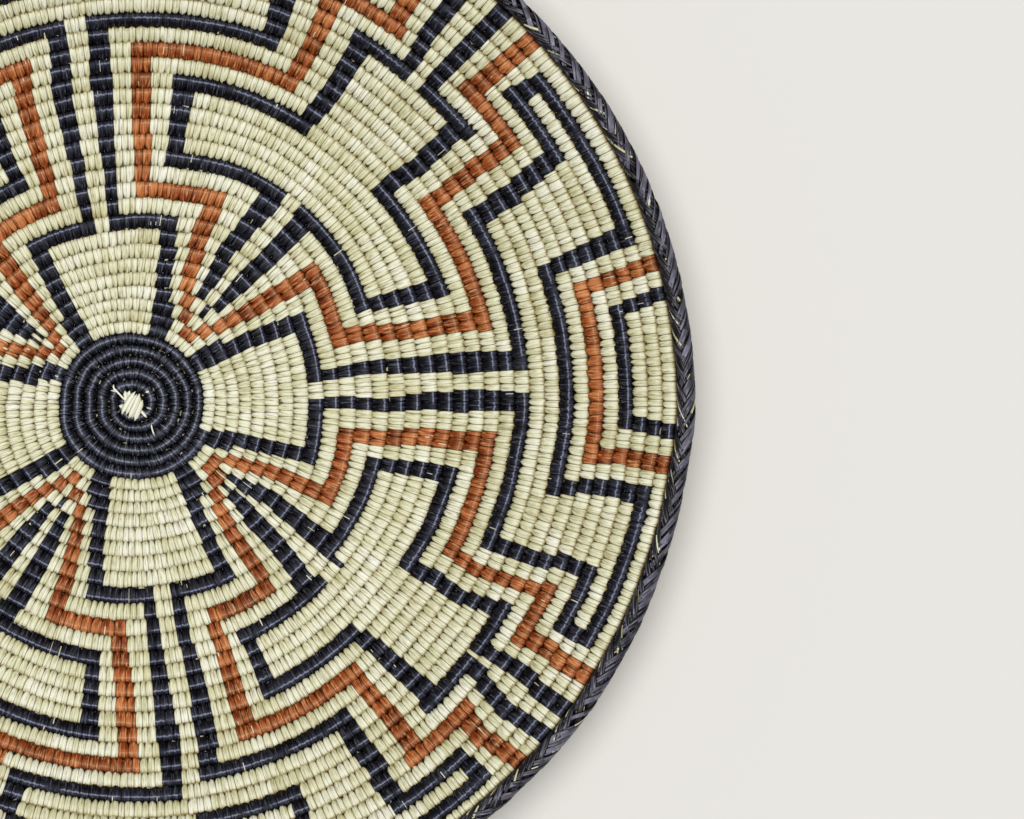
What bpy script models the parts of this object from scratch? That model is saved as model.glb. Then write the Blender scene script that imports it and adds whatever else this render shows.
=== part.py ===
# Coiled wall basket: a shallow bowl sewn from one long coil that winds outwards from a start knot
# and ends under a plaited rim. Metres, +Z up, the inside of the bowl looks up, the base rests on z = 0.
import math

import bmesh
import bpy
from mathutils import Matrix, Vector
from mathutils.geometry import intersect_point_line

# The coil. Turns are counted outwards from the knot at the angle where the counting starts.
FIRST_TURN_RADIUS = 0.0069      # knot centre to the middle of turn 1
PITCH_CENTRE = 0.00425          # from turn to turn in the dark centre
PITCH_BASE = 0.0059             # from turn to turn where the coil has reached its full thickness
PITCH_RIM = 0.0057              # from turn to turn at the rim, along the wall
THICKENS_FROM, THICKENS_TO = 5.0, 18.0
WALL_SLOPE = math.radians(28.0)
SLOPE_FROM, SLOPE_TO = 17.0, 29.0
LEAN = 0.045                    # the rim's circle sits a little to +X of the knot: shift for each unit of height
LAST_TURN = 37
COUNT_FROM = -180.0             # degrees, the side on which a turn's number goes up by one
TURN_GAP = 0.00043              # clear space between the wrapped faces of two turns
FLAT_SHARE = 0.1                # share of a turn's thickness that is pressed flat underneath

# The winding is cut into named stretches on its counting side. Each has its first and last turn
# and its points a turn, and the longer turns further out have more points.
STRETCHES = (
    ("coil_centre_disc", 1, 5, 12),
    ("coil_base", 6, 16, 16),
    ("coil_wall_lower", 17, 23, 20),
    ("coil_wall_middle", 24, 30, 24),
    ("coil_wall_upper", 31, LAST_TURN, 28),
)
START_ANGLE = -100.0            # the coil's first end, beside the knot
END_GAP = 0.0003                # between the faces of two stretches

# The rim.
RIM_STEP = 0.0063               # last turn's middle to the rim's middle, along the wall
BRAID_DIAMETER = 0.0062
BRAID_WALL = 0.0006
BRAID_MOUTH = math.radians(12.0)    # half the seam along the last turn, whose outer ridge lies in it
CORE_CLEARANCE = 0.0003
RIM_STEPS = 2 * STRETCHES[-1][3]    # the last turn's corners meet the rim's
LAST_HALF = 0.0030              # the last turn's greatest half thickness
TAIL_HALF = 0.0009              # the coil's outer end stops at this half thickness

# The start knot.
KNOT_STEM_DIAMETER = 0.0078
KNOT_STAR_DIAMETER = 0.0108
KNOT_STAR_WAIST = 0.0082
KNOT_STAR_THICKNESS = 0.0012
KNOT_ARMS = 6
SEAT = 0.0003

# How the hand-sewn coil wanders in and out, in metres at each angle, on the centre, base and wall.
DISC_WANDER = ((-140, -0.0022), (-90, -0.0024), (-50, -0.0009), (-20, 0.0), (5, 0.0), (30, -0.0007),
               (80, -0.0012), (130, -0.0006))
BASE_WANDER = ((-140, -0.0011), (-100, -0.0018), (-80, -0.0020), (-60, -0.0009), (-40, -0.0004), (5, 0.0),
               (20, 0.0005), (35, 0.0018), (50, 0.0025), (62, 0.0020), (80, -0.0003), (100, -0.0015),
               (130, 0.0))
WALL_WANDER = ((-140, -0.0048), (-110, -0.0046), (-80, -0.0041), (-50, -0.0043), (-40, -0.0044),
               (-30, -0.0038), (-20, -0.0025), (-10, -0.0014), (0, 0.0), (8, 0.0), (20, -0.0005),
               (35, -0.0013), (50, -0.0021), (70, -0.0014), (90, -0.0021), (130, -0.0028))
RIM_WANDER = ((-150, -0.0034), (-100, -0.0048), (-50, -0.0056), (-30, -0.0036), (-20, -0.0027),
              (-10, -0.0016), (0, 0.0002), (10, 0.0), (45, -0.0003), (75, -0.0012), (100, -0.0021),
              (150, -0.0026))
DISC_REACH, BASE_REACH = 0.032, 0.054   # radii between which the centre's wander turns into the base's
BASE_END, WALL_REACH = 0.080, 0.120     # and the base's into the wall's
CATCH_UP_FROM, CATCH_UP_TO = 130.0, 220.0   # where a turn climbs outwards onto the next turn's path

NATURAL = (0.70, 0.66, 0.45, 1.0)
NAVY_BLACK = (0.018, 0.018, 0.030, 1.0)
PARTS = bpy.data.collections.new("woven_wall_basket")
MATERIALS = {}


def smooth(x):
    x = min(max(x, 0.0), 1.0)
    return x * x * (3.0 - 2.0 * x)


def clear_scene():
    for ob in list(bpy.data.objects):
        bpy.data.objects.remove(ob, do_unlink=True)
    bpy.context.scene.collection.children.link(PARTS)


def material(name, colour, roughness):
    if name not in MATERIALS:
        mat = bpy.data.materials.new(name)
        mat.use_nodes = True
        shader = mat.node_tree.nodes["Principled BSDF"]
        shader.inputs["Base Color"].default_value = colour
        shader.inputs["Roughness"].default_value = roughness
        shader.inputs["Metallic"].default_value = 0.0
        mat.diffuse_color = colour
        MATERIALS[name] = mat
    return MATERIALS[name]


def add_part(name, mesh, mat):
    ob = bpy.data.objects.new(name, mesh)
    mesh.materials.clear()
    mesh.materials.append(mat)
    mesh.shade_smooth()
    mesh.set_sharp_from_angle(angle=math.radians(50.0))
    PARTS.objects.link(ob)
    return ob


def wander(points, angle):
    """A closed hand-drawn curve through (degrees, metres), eased between its points."""
    angle = (angle + 180.0) % 360.0 - 180.0
    (first, first_out), (last, last_out) = points[0], points[-1]
    closed = ((last - 360.0, last_out), *points, (first + 360.0, first_out))
    for (start, start_out), (end, end_out) in zip(closed, closed[1:]):
        if angle <= end:
            return start_out + (end_out - start_out) * smooth((angle - start) / (end - start))


def pitch_at(turn):
    grown = smooth((turn - THICKENS_FROM) / (THICKENS_TO - THICKENS_FROM))
    to_rim = smooth((turn - THICKENS_TO) / (LAST_TURN - THICKENS_TO))
    return PITCH_CENTRE + (PITCH_BASE - PITCH_CENTRE) * grown + (PITCH_RIM - PITCH_BASE) * to_rim


def slope_at(turn):
    return WALL_SLOPE * smooth((turn - SLOPE_FROM) / (SLOPE_TO - SLOPE_FROM))


def bowl_profile():
    """Radius and height of each whole turn at the counting angle, summed in small steps along the wall."""
    steps = 20
    radius, height = FIRST_TURN_RADIUS, 0.0
    turns = [(FIRST_TURN_RADIUS - PITCH_CENTRE, 0.0), (radius, height)]
    for turn in range(1, LAST_TURN + 2):
        for step in range(steps):
            middle = turn + (step + 0.5) / steps
            radius += pitch_at(middle) * math.cos(slope_at(middle)) / steps
            height += pitch_at(middle) * math.sin(slope_at(middle)) / steps
        turns.append((radius, height))
    return turns


PROFILE = bowl_profile()


def turn_place(turn, angle):
    """Radius and height of the middle of a turn at an angle, and the height follows the bowl's slope."""
    radius, height = PROFILE[turn]
    climb = smooth((angle - CATCH_UP_FROM) / (CATCH_UP_TO - CATCH_UP_FROM))
    if angle < 0.0:
        climb = smooth((angle + 360.0 - CATCH_UP_FROM) / (CATCH_UP_TO - CATCH_UP_FROM)) - 1.0
    to_base = smooth((radius - DISC_REACH) / (BASE_REACH - DISC_REACH))
    to_wall = smooth((radius - BASE_END) / (WALL_REACH - BASE_END))
    disc = wander(DISC_WANDER, angle) * min(1.0, radius / DISC_REACH)
    base = wander(BASE_WANDER, angle)
    wall = wander(WALL_WANDER, angle)
    shift = (disc + (base - disc) * to_base) * (1.0 - to_wall) + wall * to_wall
    if climb >= 0.0:
        step = climb * (PROFILE[turn + 1][0] - radius)
    else:
        step = climb * (radius - PROFILE[turn - 1][0])
    moved = shift + step
    return radius + moved, height + moved * math.tan(slope_at(turn))


def rim_place(angle):
    """Radius and height of the rim's middle, past the last turn along the wall."""
    radius, height = PROFILE[LAST_TURN]
    shift = wander(RIM_WANDER, angle)
    slope = slope_at(LAST_TURN)
    radius += RIM_STEP * math.cos(slope) + shift
    height += RIM_STEP * math.sin(slope) + shift * math.tan(slope)
    return radius, height


FULL_HALF = (PITCH_BASE - TURN_GAP) / 2.0
BED = (1.0 - 2.0 * FLAT_SHARE) * FULL_HALF      # height of the coil's middle over the bowl's underside


def coil_section(turn, angle):
    """Middle (radius, height) and greatest half thickness of the wrapped coil at a turn and an angle."""
    half = (pitch_at(turn) - TURN_GAP) / 2.0
    if turn < LAST_TURN:
        return Vector(turn_place(turn, angle)), half
    # The last turn fills the room up to the rim, and past its own beginning it thins out to a tail.
    if angle < 180.0:
        inner, inner_half = coil_section(turn - 1, angle)
    else:
        inner, inner_half = coil_section(turn, angle - 360.0)
    rim = Vector(rim_place(angle))
    along = (rim - inner).normalized()
    low = inner + along * (inner_half + TURN_GAP)
    half = min(((rim - low).length - BRAID_DIAMETER / 2.0) / 2.0, LAST_HALF)
    return low + along * half, half


def coil_station(turn, angle, most=1.0):
    """Turn, angle, point and half thickness. The coil's flattened underside is on the bowl's underside."""
    (radius, height), half = coil_section(turn, angle)
    half = min(half, most)
    lift = BED if height > 0.0 else (1.0 - 2.0 * FLAT_SHARE) * half
    around = math.radians(angle)
    level = height + lift
    point = Vector((radius * math.cos(around) + LEAN * level, radius * math.sin(around), level))
    return turn, angle, point, half


def neighbour_chords(stations):
    """Each station with each chord about one turn away: how far apart, and the two half thicknesses."""
    wound = [turn + (angle - COUNT_FROM) / 360.0 for turn, angle, _, _ in stations]
    for place, (_, _, point, half) in enumerate(stations):
        for chord in range(len(stations) - 1):
            if 0.6 < abs(wound[chord] - wound[place]) < 1.4:
                (_, _, start, start_half), (_, _, end, end_half) = stations[chord:chord + 2]
                share = min(max(intersect_point_line(point, start, end)[1], 0.0), 1.0)
                apart = (point - start.lerp(end, share)).length
                yield place, chord, apart, half + start_half + (end_half - start_half) * share


def least_gap(stations):
    """Least clear space between the faces of two turns, corners against chords."""
    return min(apart - filled for _, _, apart, filled in neighbour_chords(stations))


def winding():
    """Every station of the coil from the knot outwards, each as thick as its neighbours leave room for."""
    stations = []
    for _, first, last, points in STRETCHES:
        for turn in range(first, last + 1):
            for index in range(points):
                angle = COUNT_FROM + index * 360.0 / points
                if turn > 1 or angle >= START_ANGLE:
                    stations.append(coil_station(turn, angle))
    angle = 180.0
    while stations[-1][3] > TAIL_HALF:
        stations.append(coil_station(LAST_TURN, angle))
        angle += 360.0 / STRETCHES[-1][3]
    room = [1.0] * len(stations)
    for place, chord, apart, _ in neighbour_chords(stations):
        for meeting in (place, chord, chord + 1):
            room[meeting] = min(room[meeting], apart)
    return [coil_station(turn, angle, (clear - TURN_GAP) / 2.0)
            for (turn, angle, _, _), clear in zip(stations, room)]


def tube(name, points, halves, slopes, mat):
    """A six-sided tube through points, pressed flat where it would pass below the floor."""
    curve = bpy.data.curves.new(name, "CURVE")
    curve.dimensions = "3D"
    curve.twist_mode = "Z_UP"
    curve.bevel_depth = 1.0
    curve.bevel_resolution = 1
    curve.use_fill_caps = True
    spline = curve.splines.new("POLY")
    spline.points.add(len(points) - 1)
    for place, (point, half, slope) in enumerate(zip(points, halves, slopes)):
        spline.points[place].co = (*point, 1.0)
        spline.points[place].radius = half
        spline.points[place].tilt = -slope
    guide = bpy.data.objects.new(name + "_guide", curve)
    PARTS.objects.link(guide)
    graph = bpy.context.evaluated_depsgraph_get()
    mesh = bpy.data.meshes.new_from_object(guide.evaluated_get(graph))
    bpy.data.objects.remove(guide, do_unlink=True)
    shape = bmesh.new()
    shape.from_mesh(mesh)
    bmesh.ops.remove_doubles(shape, verts=shape.verts, dist=0.00001)
    for vert in shape.verts:
        vert.co.z = max(vert.co.z, 0.0)
    bmesh.ops.recalc_face_normals(shape, faces=shape.faces)
    shape.to_mesh(mesh)
    shape.free()
    mesh.name = name
    return add_part(name, mesh, mat)


def half_way(point, beyond):
    """The cut face between two stretches: half way along a chord, less half the end gap."""
    along = beyond - point
    return point + along * (0.5 - END_GAP / 2.0 / along.length)


def build_coil():
    stations = winding()
    dark = material("dyed_black_palm", NAVY_BLACK, 0.55)
    pale = material("natural_palm", NATURAL, 0.6)
    for name, first, last, _ in STRETCHES:
        own = [place for place, station in enumerate(stations) if first <= station[0] <= last]
        points = [stations[place][2] for place in own]
        halves = [stations[place][3] for place in own]
        slopes = [slope_at(stations[place][0]) for place in own]
        if own[0] > 0:
            points.insert(0, half_way(points[0], stations[own[0] - 1][2]))
            halves.insert(0, halves[0])
            slopes.insert(0, slopes[0])
        if own[-1] < len(stations) - 1:
            points.append(half_way(points[-1], stations[own[-1] + 1][2]))
            halves.append(halves[-1])
            slopes.append(slopes[-1])
        tube(name, points, halves, slopes, dark if first == 1 else pale)
    return stations


def ring(name, section, mat, gap_angle=0.0):
    """A section of (outwards, upwards) points carried round the rim's path, whole or with a gap."""
    shape = bmesh.new()
    radius, height = rim_place(0.0)
    verts = [shape.verts.new((radius + x, 0.0, height + BED + z)) for x, z in section]
    edges = [shape.edges.new((verts[i - 1], verts[i])) for i in range(len(verts))]
    geom = verts + edges
    whole = gap_angle == 0.0
    bmesh.ops.spin(shape, geom=geom, cent=(0, 0, 0), axis=(0, 0, 1), angle=2.0 * math.pi - gap_angle,
                   steps=RIM_STEPS if whole else RIM_STEPS - 1, use_merge=whole, use_duplicate=False)
    if not whole:
        open_edges = [e for e in shape.edges if e.is_boundary]
        bmesh.ops.holes_fill(shape, edges=open_edges, sides=0)
    for vert in shape.verts:
        angle = math.degrees(math.atan2(vert.co.y, vert.co.x))
        here, level = rim_place(angle)
        flat = math.hypot(vert.co.x, vert.co.y)
        share = (flat + here - radius) / flat
        aside = LEAN * (level + BED)
        vert.co = (vert.co.x * share + aside, vert.co.y * share, vert.co.z + level - height)
    bmesh.ops.remove_doubles(shape, verts=shape.verts, dist=0.00001)
    bmesh.ops.recalc_face_normals(shape, faces=shape.faces)
    mesh = bpy.data.meshes.new(name)
    shape.to_mesh(mesh)
    shape.free()
    return add_part(name, mesh, mat)


def arc(radius, start, end, count):
    angles = [start + (end - start) * step / count for step in range(count + 1)]
    return [(radius * math.cos(angle), radius * math.sin(angle)) for angle in angles]


def build_rim():
    """The coil's last end runs round as the rim's core, inside a plaited strip that is open to the wall."""
    dark = material("dyed_black_palm", NAVY_BLACK, 0.55)
    outer = BRAID_DIAMETER / 2.0
    bore = outer - BRAID_WALL
    mouth = math.pi + slope_at(LAST_TURN)
    braid = arc(outer, mouth + BRAID_MOUTH, mouth + 2.0 * math.pi - BRAID_MOUTH, 11)
    braid += reversed(arc(bore, mouth + BRAID_MOUTH, mouth + 2.0 * math.pi - BRAID_MOUTH, 8))
    ring("rim_braid", braid, dark)
    core = bore - CORE_CLEARANCE
    ring("rim_core", arc(core, 0.0, 2.0 * math.pi * 7 / 8, 7), dark, gap_angle=2.0 * math.pi / RIM_STEPS)


def build_knot():
    """Crossed strips that start the coil: a stem in the first turn, and a star of strip ends on top."""
    half = (PITCH_CENTRE - TURN_GAP) / 2.0
    coil_top = (1.0 - 2.0 * FLAT_SHARE) * half + half * math.cos(math.pi / 6.0)
    under_star = coil_top + SEAT
    stem, star_wide, star_waist = KNOT_STEM_DIAMETER, KNOT_STAR_DIAMETER, KNOT_STAR_WAIST
    top = under_star + KNOT_STAR_THICKNESS
    levels = ((0.0, stem, stem), (under_star, stem, stem), (under_star, star_wide, star_waist),
              (top, 0.8 * star_wide, 0.8 * star_waist))
    shape = bmesh.new()
    loops = []
    for level, wide, waist in levels:
        place = Matrix.Translation((0.0, 0.0, level))
        made = bmesh.ops.create_circle(shape, segments=2 * KNOT_ARMS, radius=wide / 2.0, matrix=place)
        for vert in made["verts"][::2]:
            vert.co.x *= waist / wide
            vert.co.y *= waist / wide
        loops.append({edge for vert in made["verts"] for edge in vert.link_edges})
    for lower, upper in zip(loops, loops[1:]):
        bmesh.ops.bridge_loops(shape, edges=list(lower | upper))
    bmesh.ops.holes_fill(shape, edges=[e for e in shape.edges if e.is_boundary], sides=0)
    bmesh.ops.recalc_face_normals(shape, faces=shape.faces)
    if shape.calc_volume(signed=True) < 0.0:
        bmesh.ops.reverse_faces(shape, faces=shape.faces)
    mesh = bpy.data.meshes.new("start_knot")
    shape.to_mesh(mesh)
    shape.free()
    return add_part("start_knot", mesh, material("natural_palm", NATURAL, 0.6))


clear_scene()
build_knot()
coil = build_coil()
build_rim()
length = sum((b[2] - a[2]).length for a, b in zip(coil, coil[1:]))
print("coil: %.1f m long, least gap between turns %.3f mm" % (length, least_gap(coil) * 1000.0))
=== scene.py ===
# Coiled palm basket seen from straight above its open side. Every stitch of the coil, the plaited rim
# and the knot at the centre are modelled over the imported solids, in metres, with +Z up.
import functools
import math

import bmesh
import bpy
import numpy as np
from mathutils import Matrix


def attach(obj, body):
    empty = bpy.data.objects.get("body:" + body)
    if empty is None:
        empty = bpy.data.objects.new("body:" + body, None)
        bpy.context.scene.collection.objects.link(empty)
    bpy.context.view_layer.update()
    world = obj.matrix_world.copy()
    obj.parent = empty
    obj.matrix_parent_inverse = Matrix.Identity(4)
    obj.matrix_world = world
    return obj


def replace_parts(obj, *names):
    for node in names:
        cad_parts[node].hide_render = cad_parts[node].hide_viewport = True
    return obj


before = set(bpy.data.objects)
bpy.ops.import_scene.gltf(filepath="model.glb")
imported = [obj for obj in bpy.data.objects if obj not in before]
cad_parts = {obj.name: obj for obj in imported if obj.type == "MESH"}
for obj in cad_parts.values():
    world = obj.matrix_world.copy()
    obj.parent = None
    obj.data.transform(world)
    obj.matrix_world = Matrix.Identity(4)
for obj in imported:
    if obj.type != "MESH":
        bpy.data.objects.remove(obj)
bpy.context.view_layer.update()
SEED = 7
rng = np.random.default_rng(SEED)

# The coil's path, with the same sizes and formulas as the solids. Turns are counted outwards from
# the knot, and a turn's number goes up by one at 180 degrees.
FIRST_TURN_RADIUS = 0.0069
PITCH_CENTRE, PITCH_BASE, PITCH_RIM = 0.00425, 0.0059, 0.0057
THICKENS_FROM, THICKENS_TO = 5.0, 18.0
WALL_SLOPE = math.radians(28.0)
SLOPE_FROM, SLOPE_TO = 17.0, 29.0
LEAN = 0.045  # the rim lies to the right of the base by this share of its height
LAST_TURN = 37
TURN_GAP = 0.00043
RIM_STEP = 0.0063
BRAID_RADIUS = 0.0031
FIRST_END, TAIL_END = -250.0, 205.0  # the coil's first end on turn 1 and its outer end on the last
MEETS_RIM_FROM, MEETS_RIM_OVER = -160.0, 20.0  # degrees over which the last turn comes up to the rim
FULL_HALF = (PITCH_BASE - TURN_GAP) / 2.0
BED_SHARE = 0.8  # a tenth of a turn's thickness is pressed flat underneath
BED = BED_SHARE * FULL_HALF  # height of the coil's middle over the bowl's underside
# How far the turns stray from true circles, as (degrees, metres). The points were picked from rows that a
# program had tracked in the photograph.
DISC_WANDER = ((-140, -0.0022), (-90, -0.0024), (-50, -0.0009), (-20, 0.0), (5, 0.0), (30, -0.0007),
               (80, -0.0012), (130, -0.0006))
BASE_WANDER = ((-140, -0.0011), (-100, -0.0018), (-80, -0.0020), (-60, -0.0009), (-40, -0.0004), (5, 0.0),
               (20, 0.0005), (35, 0.0018), (50, 0.0025), (62, 0.0020), (80, -0.0003), (100, -0.0015),
               (130, 0.0))
WALL_WANDER = ((-140, -0.0048), (-110, -0.0046), (-80, -0.0041), (-50, -0.0043), (-40, -0.0044),
               (-30, -0.0038), (-20, -0.0025), (-10, -0.0014), (0, 0.0), (8, 0.0), (20, -0.0005),
               (35, -0.0013), (50, -0.0021), (70, -0.0014), (90, -0.0021), (130, -0.0028))
RIM_WANDER = ((-150, -0.0034), (-100, -0.0048), (-50, -0.0056), (-30, -0.0036), (-20, -0.0027),
              (-10, -0.0016), (0, 0.0002), (10, 0.0), (45, -0.0003), (75, -0.0012), (100, -0.0021),
              (150, -0.0026))
DISC_REACH, BASE_REACH = 0.032, 0.054
BASE_END, WALL_REACH = 0.080, 0.120
CATCH_UP_FROM, CATCH_UP_TO = 130.0, 220.0

# The sewn rows lie aside of the solids' turns to follow the photograph, most of all near the knot, where
# its coil steps outwards on another side. In tenths of a millimetre, at a direction in degrees and at
# these radii. Programs measured these shifts by comparing renders with the photograph.
ASIDE_AT = (0.0098, 0.0177, 0.0265, 0.045, 0.100, 0.143, 0.175)
ASIDE = ((-160, -37, -20, -5, -3, -2, -1, 4), (-140, -32, -26, -8, -6, -6, -3, 4),
         (-120, -28, -22, -8, -8, -10, -4, 7), (-100, -21, -19, -9, -20, -1, -6, 8),
         (-80, -20, -14, -5, -18, -8, -4, 9), (-60, -16, -7, -5, -16, -2, 3, 10),
         (-40, -9, 0, 0, 2, -2, 0, 10), (-20, -2, 2, -1, 7, 4, 1, 10),
         (0, -2, 7, 0, -4, 3, 3, 9), (20, 4, 9, 6, -3, 1, 8, 9),
         (40, 8, 6, 7, 6, 10, 6, 9), (60, 5, 5, 9, 9, 10, 7, 8),
         (80, 5, 7, 6, -1, 6, 6, 7), (100, 3, 7, 9, 2, 2, -2, 4),
         (120, 8, 4, 12, 5, -3, 2, 4), (140, 6, 10, 12, 3, 0, 3, 4),
         (160, -7, -2, 2, 0, 3, 2, 4), (180, -30, -19, -8, -1, 1, 0, 4))

# The photograph's frame.
IMAGE_WIDTH, IMAGE_HEIGHT = 1024, 819
PIXEL = 0.0003568  # metres a pixel at the rim's height
KNOT_PIXEL = (132.0, 404.0)
CAMERA_RISE = 3.0  # camera over the rim
RIM_LEVEL = 0.040
SENSOR_WIDTH = 36.0

# The plain studio: a pale floor, one wide soft lamp nearly overhead, and an even pale surrounding.
FLOOR_HALF, FLOOR_COLOUR, FLOOR_ROUGHNESS = 3.0, "#E8E6E0", 0.9
LAMP_ENERGY, LAMP_SPREAD, LAMP_TILT = 2.5, 34.0, -4.5
SURROUNDING = 0.22

# How each colour is sewn: the width along the coil of one pass of the strip, the fewest and most passes
# that are pulled up together as one stitch, how deep the creases are within a stitch and between two, and
# how often a pale foundation strip shows.
SEWING = {
    "natural": (0.0012, (2, 2), (0.08, 0.45), (0.85, 1.20), 0.0),
    "black": (0.0013, (2, 3), (0.08, 0.35), (0.80, 1.15), 0.025),
    "rust": (0.0013, (2, 3), (0.05, 0.30), (0.80, 1.15), 0.03),
    "disc": (0.0012, (2, 3), (0.10, 0.60), (0.70, 1.20), 0.003),
}
PASS_VARIES = (0.6, 1.4)  # a pass's width against the usual
WIDER_TURNS, WIDER_BY = (26, 31), (1.0, 1.2)  # the outer rows are sewn with wider strips
OPENING = 0.65  # a crease deeper than this lies between two stitches
FULL_TOP = 1.12  # the stitches stand this much higher over the coil's middle than under it
PALE_TIPS = 0.03  # share of black stitches with a pale tip, where the strip's underside shows
SLIVER = 0.00024  # width of a foundation strip that shows between two stitches
SLIVER_VARIES = (0.7, 1.6)

# The key pattern, drawn on one half of an arm and mirrored round the basket. Uprights run from row to
# row: colour, first and last row, and their two edges in degrees from the arm's axis at either row.
UPRIGHTS = (
    ("black", 34, 37, (5.8, 7.4), (6.6, 8.1)),
    ("rust", 32, 37, (9.3, 11.0), (9.8, 11.6)),
    ("black", 30, 36, (12.8, 14.8), (13.4, 15.8)),
    ("black", 30, 34, (23.6, 26.4), (25.1, 27.4)),
    ("black", 27, 30, (22.9, 25.8), (23.4, 26.4)),
    ("black", 34, 36, (33.3, 35.6), (33.2, 35.2)),
    ("rust", 32, 37, (37.3, 39.8), (37.0, 39.1)),
    ("rust", 25, 32, (28.6, 31.3), (29.4, 31.8)),
    ("black", 30, 37, (41.8, 43.9), (41.4, 43.5)),
    ("black", 27, 30, (34.6, 37.4), (34.6, 37.4)),
    ("black", 23, 27, (34.5, 37.4), (34.5, 37.4)),
    ("black", 23, 27, (1.1, 4.9), (1.2, 3.8)),
    ("black", 14, 23, (2.9, 6.0), (1.6, 5.1)),
    ("rust", 20, 25, (9.2, 12.8), (7.8, 11.0)),
    ("rust", 16, 20, (11.2, 15.6), (9.2, 12.8)),
    ("black", 18, 23, (17.4, 20.6), (15.0, 18.4)),
    ("black", 12, 18, (40.0, 45.4), (40.2, 45.0)),
    ("black", 10, 12, (41.2, 45.4), (40.0, 45.8)),
    ("rust", 11, 16, (31.0, 37.0), (29.0, 34.0)),
    ("black", 9, 14, (21.4, 28.6), (19.5, 24.8)),
)
# Rungs lie along one row: colour, row, and both ends in degrees from the arm's axis.
RUNGS = (
    ("black", 36, 13.2, 35.0), ("black", 34, 0.0, 7.3), ("black", 34, 25.1, 35.9),
    ("rust", 32, 0.0, 11.1), ("rust", 32, 29.7, 40.1), ("black", 30, 0.0, 14.6), ("black", 30, 34.3, 43.8),
    ("black", 27, 1.3, 25.9), ("rust", 25, 7.6, 31.4), ("black", 23, 15.0, 37.4), ("black", 18, 18.9, 45.3),
    ("rust", 16, 11.0, 33.8), ("black", 14, 3.2, 24.4), ("black", 9, 45.6, 47.0),
    ("rust", 10, 32.3, 38.2), ("rust", 9, 34.0, 39.6), ("rust", 8, 37.5, 44.0), ("rust", 7, 41.7, 47.0),
    ("black", 8, 21.8, 33.0), ("black", 7, 22.0, 35.0), ("black", 6, 22.8, 35.5),
)
NEAR_ARM, NEAR_CORNER = 12.0, 8.0  # edges this near an axis keep their distance from it
# Where the arms' axes and the corners between them lie, as (row, degrees), drifting as hand work does.
ARMS = (((0, -170.5),), ((0, -81.2),), ((24, 4.4), (28, 3.4), (31, 4.1), (37, 4.4)), ((0, 98.6),),
        ((0, 189.5),))
CORNERS = (((0, -216.0),), ((8, -127.5), (10, -125.5), (16, -124.8), (37, -125.5)),
           ((8, -36.5), (10, -38.0), (15, -39.2), (18, -40.6), (23, -38.2), (27, -37.3), (30, -36.6)),
           ((7, 50.0), (10, 51.4), (18, 51.4), (24, 49.0), (37, 48.9)), ((0, 144.0),))
DISC_TURNS = 5
# A turn changes from one pattern row to the next at a side, in degrees, which holds up to these turns.
SEAMS = ((7, -27.0), (19, -37.0), (LAST_TURN, -81.3))
# In degrees: a shorter bar is left out, and a shorter span of colour joins the one before it.
SHORTEST_BAR, SHORTEST_SPAN = 0.2, 0.35
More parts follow.
